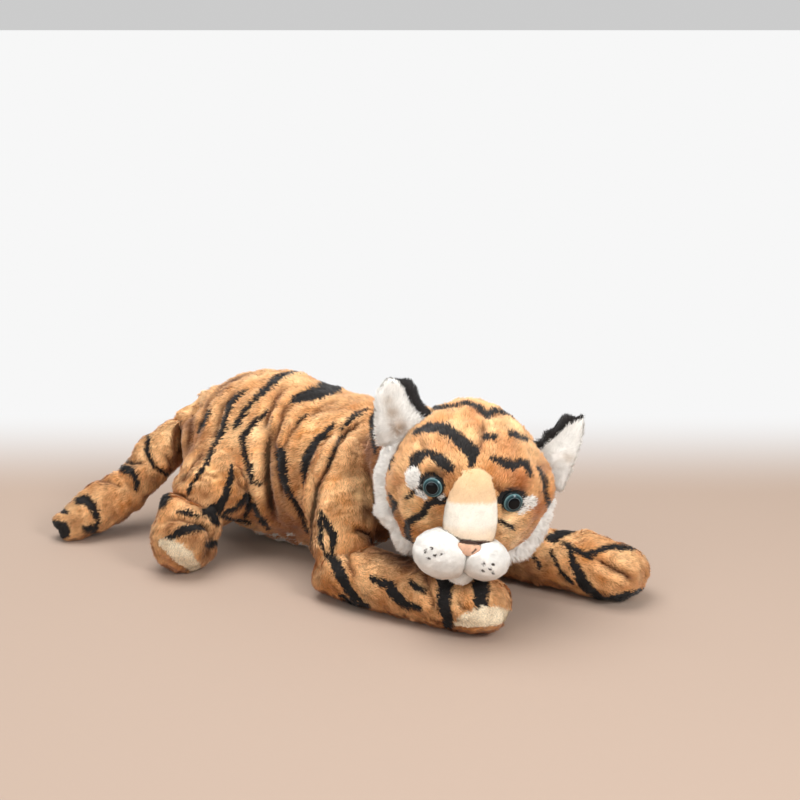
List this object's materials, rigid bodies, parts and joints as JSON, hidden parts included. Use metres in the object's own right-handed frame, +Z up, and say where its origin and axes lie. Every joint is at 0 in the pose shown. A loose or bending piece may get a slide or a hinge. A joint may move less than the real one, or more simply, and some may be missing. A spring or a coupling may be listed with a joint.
{
  "type": "plush tiger",
  "caption": "Striped plush tiger lying on its belly with its chin on one bent foreleg, with sewn limbs, glossy eyes and a stuffed tail.",
  "frame": {"origin": "middle of the flat patch of the belly panel on which the body rests", "axes": "+Z up, +X to the side on which the left forepaw is stretched out, -Y to the side that the face looks to"},
  "size_m": [0.6133, 0.4451, 0.2333],
  "materials": {
    "orange_plush": "matte",
    "white_plush": "matte",
    "cream_plush": "matte",
    "nose_thread": "satin",
    "fibre_fill": "matte",
    "eye_plastic": "gloss",
    "washer_plastic": "satin"
  },
  "bodies": {
    "torso": {"body_skin": "orange_plush", "belly_panel": "white_plush", "body_stuffing": "fibre_fill"},
    "neck": {"neck": "orange_plush"},
    "head": {"head_skin": "orange_plush", "head_stuffing": "fibre_fill", "nose_bridge": "cream_plush", "nose": "nose_thread", "muzzle_pad_right": "white_plush", "muzzle_pad_left": "white_plush", "chin": "white_plush", "cheek_ruff_right": "white_plush", "cheek_ruff_left": "white_plush", "ear_shell_right": "orange_plush", "ear_shell_left": "orange_plush", "ear_lining_right": "white_plush", "ear_lining_left": "white_plush", "eye_right": "eye_plastic", "eye_left": "eye_plastic", "eye_washer_right": "washer_plastic", "eye_washer_left": "washer_plastic"},
    "right_foreleg": {"right_upper_foreleg": "orange_plush"},
    "right_forearm": {"right_forearm": "orange_plush", "right_fore_toe_cap": "cream_plush"},
    "left_foreleg": {"left_upper_foreleg": "orange_plush"},
    "left_forearm": {"left_forearm": "orange_plush", "left_fore_toe_cap": "cream_plush"},
    "right_hind_leg": {"right_thigh": "orange_plush", "right_hind_foot": "orange_plush", "right_hind_toe_cap": "cream_plush"},
    "left_hind_leg": {"left_thigh": "orange_plush", "left_hind_foot": "orange_plush", "left_hind_toe_cap": "cream_plush"},
    "tail_root": {"tail_root": "orange_plush"},
    "tail_end": {"tail_end": "orange_plush"}
  },
  "joints": [
    {"name": "head_turn", "type": "hinge", "parent": "torso", "child": "neck", "pos_m": [0.12522, -0.0996, 0.12552], "axis": [0, 0, 1], "range_deg": [0, 18]},
    {"name": "head_lift", "type": "hinge", "parent": "neck", "child": "head", "pos_m": [0.12522, -0.0996, 0.12552], "axis": [-1, 0, 0], "range_deg": [0, 20]},
    {"name": "right_shoulder", "type": "hinge", "parent": "torso", "child": "right_foreleg", "pos_m": [0.05276, -0.09789, 0.11163], "axis": [0, 0, 1], "range_deg": [-20, 0]},
    {"name": "right_elbow", "type": "hinge", "parent": "right_foreleg", "child": "right_forearm", "pos_m": [0.04701, -0.15259, 0.02647], "axis": [0, 0, 1], "range_deg": [-25, 0]},
    {"name": "left_shoulder", "type": "hinge", "parent": "torso", "child": "left_foreleg", "pos_m": [0.11783, -0.01317, 0.08418], "axis": [0, 0, 1], "range_deg": [0, 25]},
    {"name": "left_elbow", "type": "hinge", "parent": "left_foreleg", "child": "left_forearm", "pos_m": [0.20235, -0.08665, 0.02647], "axis": [0, 0, 1], "range_deg": [-15, 20]},
    {"name": "right_hip", "type": "hinge", "parent": "torso", "child": "right_hind_leg", "pos_m": [-0.07218, -0.01734, 0.08784], "axis": [0.4848, 0.8746, 0], "range_deg": [-15, 20]},
    {"name": "left_hip", "type": "hinge", "parent": "torso", "child": "left_hind_leg", "pos_m": [-0.02354, 0.0704, 0.08784], "axis": [0.4848, 0.8746, 0], "range_deg": [-15, 20]},
    {"name": "tail_root_swing", "type": "hinge", "parent": "torso", "child": "tail_root", "pos_m": [-0.11326, 0.05409, 0.12627], "axis": [0, 0, 1], "range_deg": [-20, 20]},
    {"name": "tail_bend", "type": "hinge", "parent": "tail_root", "child": "tail_end", "pos_m": [-0.18687, 0.02132, 0.04247], "axis": [0, 0, 1], "range_deg": [-25, 25]}
  ]
}
